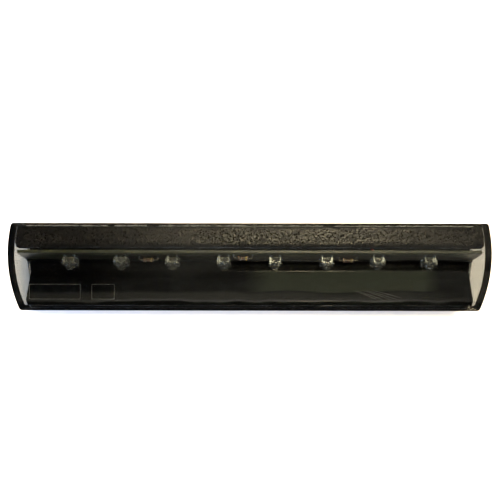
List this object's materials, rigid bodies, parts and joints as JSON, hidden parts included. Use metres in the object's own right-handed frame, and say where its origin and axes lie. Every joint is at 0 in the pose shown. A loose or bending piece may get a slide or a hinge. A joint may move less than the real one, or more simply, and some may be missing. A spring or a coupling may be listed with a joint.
{
  "type": "third brake light",
  "caption": "Long flat high-level brake lamp: clear window, grained black visor over a row of clear LEDs, sloped gloss black reflector, foam-backed base with inserts and a plug inlet.",
  "frame": {"origin": "middle of the foam gasket's underside, on the surface that the lamp is bolted to", "axes": "+X along the lamp, +Y towards the longer edge with the visor (up on the vehicle), +Z out of the clear face"},
  "size_m": [0.257, 0.0466, 0.0254],
  "materials": {
    "clear_acrylic": "clear moulded acrylic, polished",
    "black_abs": "black moulded ABS, fine satin",
    "grained_abs": "black ABS with a coarse spark-eroded grain",
    "gloss_abs": "black ABS, mirror-polished mould face",
    "foam": "closed-cell EPDM foam",
    "sealant": "milky clear silicone",
    "fibreglass": "glass-epoxy laminate with green solder mask",
    "clear_epoxy": "water-clear LED epoxy",
    "tinned_copper": "tinned copper",
    "resistor_coat": "tan conformal lacquer with plain colour bands",
    "brass": "knurled brass",
    "zinc_steel": "zinc-plated steel",
    "silicone_seal": "moulded silicone rubber",
    "red_insulation": "red PVC insulation",
    "black_insulation": "black PVC insulation"
  },
  "bodies": {
    "root": {"base_plate": "black_abs", "circuit_board": "fibreglass", "inlet_blade_negative": "tinned_copper", "inlet_blade_positive": "tinned_copper", "inlet_seal": "silicone_seal", "inlet_socket": "black_abs", "lead_negative": "black_insulation", "lead_positive": "red_insulation", "led_1": "clear_epoxy", "led_1_anode": "tinned_copper", "led_1_cathode": "tinned_copper", "led_2": "clear_epoxy", "led_2_anode": "tinned_copper", "led_2_cathode": "tinned_copper", "led_3": "clear_epoxy", "led_3_anode": "tinned_copper", "led_3_cathode": "tinned_copper", "led_4": "clear_epoxy", "led_4_anode": "tinned_copper", "led_4_cathode": "tinned_copper", "led_5": "clear_epoxy", "led_5_anode": "tinned_copper", "led_5_cathode": "tinned_copper", "led_6": "clear_epoxy", "led_6_anode": "tinned_copper", "led_6_cathode": "tinned_copper", "led_7": "clear_epoxy", "led_7_anode": "tinned_copper", "led_7_cathode": "tinned_copper", "led_8": "clear_epoxy", "led_8_anode": "tinned_copper", "led_8_cathode": "tinned_copper", "lens": "clear_acrylic", "mounting_gasket": "foam", "reflector": "gloss_abs", "resistor_1": "resistor_coat", "resistor_1_wires": "tinned_copper", "resistor_2": "resistor_coat", "resistor_2_wires": "tinned_copper", "resistor_3": "resistor_coat", "resistor_3_wires": "tinned_copper", "sealant_bead": "sealant", "threaded_insert_left": "brass", "threaded_insert_right": "brass", "visor": "grained_abs", "visor_screw_1": "zinc_steel", "visor_screw_2": "zinc_steel", "visor_screw_3": "zinc_steel"}
  },
  "joints": []
}
